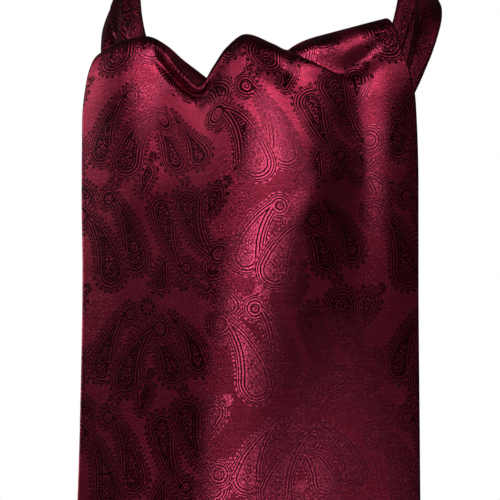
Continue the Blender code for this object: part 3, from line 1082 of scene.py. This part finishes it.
class CRAVAT_OT_neckband(bpy.types.Operator):
    """Lay the pleated neckband round the neck"""

    bl_idname = "cravat.neckband"
    bl_label = "Neckband"

    def execute(self, context):
        rows, columns = 420, 48
        nape_lean = math.radians(BAND.at(0.0, "right_lean"))
        shift = Vector((0.0, -0.5 * BAND.at(0.0, "right_width") * math.sin(nape_lean), 0.0))
        sections = []
        cloth = []
        for row in range(rows):
            turn = BAND_END_TURN * (2.0 * row / (rows - 1) - 1.0)
            side = "right" if turn >= 0.0 else "left"
            place, outward = neck_curve(turn)
            lean = math.radians(BAND.at(abs(turn), side + "_lean"))
            width = BAND.at(abs(turn), side + "_width")
            down = outward * math.sin(lean) - Vector((0.0, 0.0, math.cos(lean)))
            face = outward * math.cos(lean) + Vector((0.0, 0.0, math.sin(lean)))
            upper = place + shift + Vector((0.0, 0.0, BAND.at(abs(turn), side + "_top")))
            line = []
            flat = []
            for column in range(columns):
                share = column / (columns - 1)
                tooth = (share * BAND_PLEATS) % 1.0
                pleat = PLEAT_STEP * ease(tooth / PLEAT_SLOPE)
                out = BAND_GAP + pleat + band_relief(turn, share)
                line.append((upper + down * width * share + face * out) * MM)
                flat.append(Vector((share * BAND_CUT_WIDTH, row / (rows - 1) * BAND_CUT_LENGTH)) * MM)
            sections.append(line)
            cloth.append(flat)
        piece = cloth_grid("neckband_silk", sections, cloth, BAND_WALL * MM)
        dress(piece, "neckband", "band_silk")
        return {"FINISHED"}


# The camera, with the width that it shows at a distance. The sensor is in millimetres.
CAMERA_PLACE = Vector((-9.24, -1650.0, -138.3)) * MM
VIEW_WIDTH = 210.0 * MM
VIEW_DISTANCE = 1500.0 * MM
SENSOR = 36.0

# The floor and the light of the room, in metres and as shares of full brightness
FLOOR_HALF_SIZE = 4.0
FLOOR_LEVEL = -0.9
FLOOR_COLOUR = (0.8, 0.8, 0.8, 1.0)
ROOM_LIGHT = 0.03

# Area lights: where each stands and what it faces, in metres, its two sizes and its power in watts
MIDDLE = (-0.01, -0.15, -0.11)
LAMPS = (
    ("key", (0.0, -1.2, 0.62), MIDDLE, (0.6, 0.6), 5.4),
    ("left key", (-1.0, -0.6, 0.75), MIDDLE, (0.6, 0.5), 2.2),
    ("right key", (1.0, -0.6, 0.75), MIDDLE, (0.6, 0.5), 1.3),
    ("front fill", (-0.05, -1.9, 0.15), MIDDLE, (0.3, 0.6), 3.4),
    ("edge box", (-1.25, 0.25, 0.1), (-0.05, -0.06, 0.0), (0.4, 0.5), 3.2),
    ("back fill", (0.3, 1.7, -0.5), MIDDLE, (1.2, 0.7), 9.0),
)


def soft_box(name, place, target, size, power):
    """An area light that faces a target."""
    lamp = bpy.data.lights.new(name, "AREA")
    lamp.shape = "RECTANGLE"
    lamp.size, lamp.size_y = size
    lamp.energy = power
    holder = bpy.data.objects.new(name, lamp)
    bpy.context.scene.collection.objects.link(holder)
    holder.location = place
    aim = Vector(target) - Vector(place)
    holder.rotation_euler = aim.to_track_quat("-Z", "Y").to_euler()


class CRAVAT_OT_studio(bpy.types.Operator):
    """Set the camera, the lights and the pale floor"""

    bl_idname = "cravat.studio"
    bl_label = "Studio"

    def execute(self, context):
        scene = context.scene
        lens = bpy.data.cameras.new("camera")
        lens.sensor_width = SENSOR
        lens.lens = SENSOR * VIEW_DISTANCE / VIEW_WIDTH
        camera = bpy.data.objects.new("camera", lens)
        camera.location = CAMERA_PLACE
        camera.rotation_euler = (math.radians(90.0), 0.0, 0.0)
        scene.collection.objects.link(camera)
        scene.camera = camera

        floor_mesh = bpy.data.meshes.new("floor")
        sheet = bmesh.new()
        bmesh.ops.create_grid(sheet, x_segments=1, y_segments=1, size=FLOOR_HALF_SIZE)
        bmesh.ops.translate(sheet, verts=sheet.verts, vec=(0.0, 0.0, FLOOR_LEVEL))
        sheet.to_mesh(floor_mesh)
        sheet.free()
        floor = bpy.data.objects.new("floor", floor_mesh)
        scene.collection.objects.link(floor)
        pale = bpy.data.materials.new("pale floor")
        pale.use_nodes = True
        pale.node_tree.nodes["Principled BSDF"].inputs["Base Color"].default_value = FLOOR_COLOUR
        floor_mesh.materials.append(pale)

        for lamp in LAMPS:
            soft_box(*lamp)

        world = bpy.data.worlds.new("studio")
        world.use_nodes = True
        scene.world = world
        tree = world.node_tree
        back = tree.nodes["Background"]
        path = tree.nodes.new("ShaderNodeLightPath")
        strength = tree.nodes.new("ShaderNodeMapRange")
        strength.inputs["To Min"].default_value = ROOM_LIGHT
        strength.inputs["To Max"].default_value = 1.0
        tree.links.new(path.outputs["Is Camera Ray"], strength.inputs["Value"])
        back.inputs["Color"].default_value = (1.0, 1.0, 1.0, 1.0)
        tree.links.new(strength.outputs["Result"], back.inputs["Strength"])
        scene.view_settings.view_transform = "Standard"
        return {"FINISHED"}


class CRAVAT_PT_panel(bpy.types.Panel):
    """Lists the steps and the settings"""

    bl_idname = "CRAVAT_PT_panel"
    bl_label = "Silk cravat"
    bl_space_type = "VIEW_3D"
    bl_region_type = "UI"
    bl_category = "Cravat"

    def draw(self, context):
        for settings in (context.scene.silk_looks, context.scene.drape_sizes):
            for name in settings.__annotations__:
                self.layout.prop(settings, name)
        for step in STEPS:
            self.layout.operator(step.bl_idname)


STEPS = (
    CRAVAT_OT_studio,
    CRAVAT_OT_front_blade,
    CRAVAT_OT_under_blade,
    CRAVAT_OT_cross_wrap,
    CRAVAT_OT_neckband,
)
CLASSES = (SilkLooks, DrapeSizes, *STEPS, CRAVAT_PT_panel)


def register():
    for item in CLASSES:
        bpy.utils.register_class(item)
    bpy.types.Scene.silk_looks = bpy.props.PointerProperty(type=SilkLooks)
    bpy.types.Scene.drape_sizes = bpy.props.PointerProperty(type=DrapeSizes)


def unregister():
    del bpy.types.Scene.drape_sizes
    del bpy.types.Scene.silk_looks
    for item in reversed(CLASSES):
        bpy.utils.unregister_class(item)


def main():
    register()
    bpy.ops.cravat.studio()
    bpy.ops.cravat.front_blade()
    bpy.ops.cravat.under_blade()
    bpy.ops.cravat.cross_wrap()
    bpy.ops.cravat.neckband()
    bpy.context.view_layer.update()


if __name__ == "__main__":
    main()
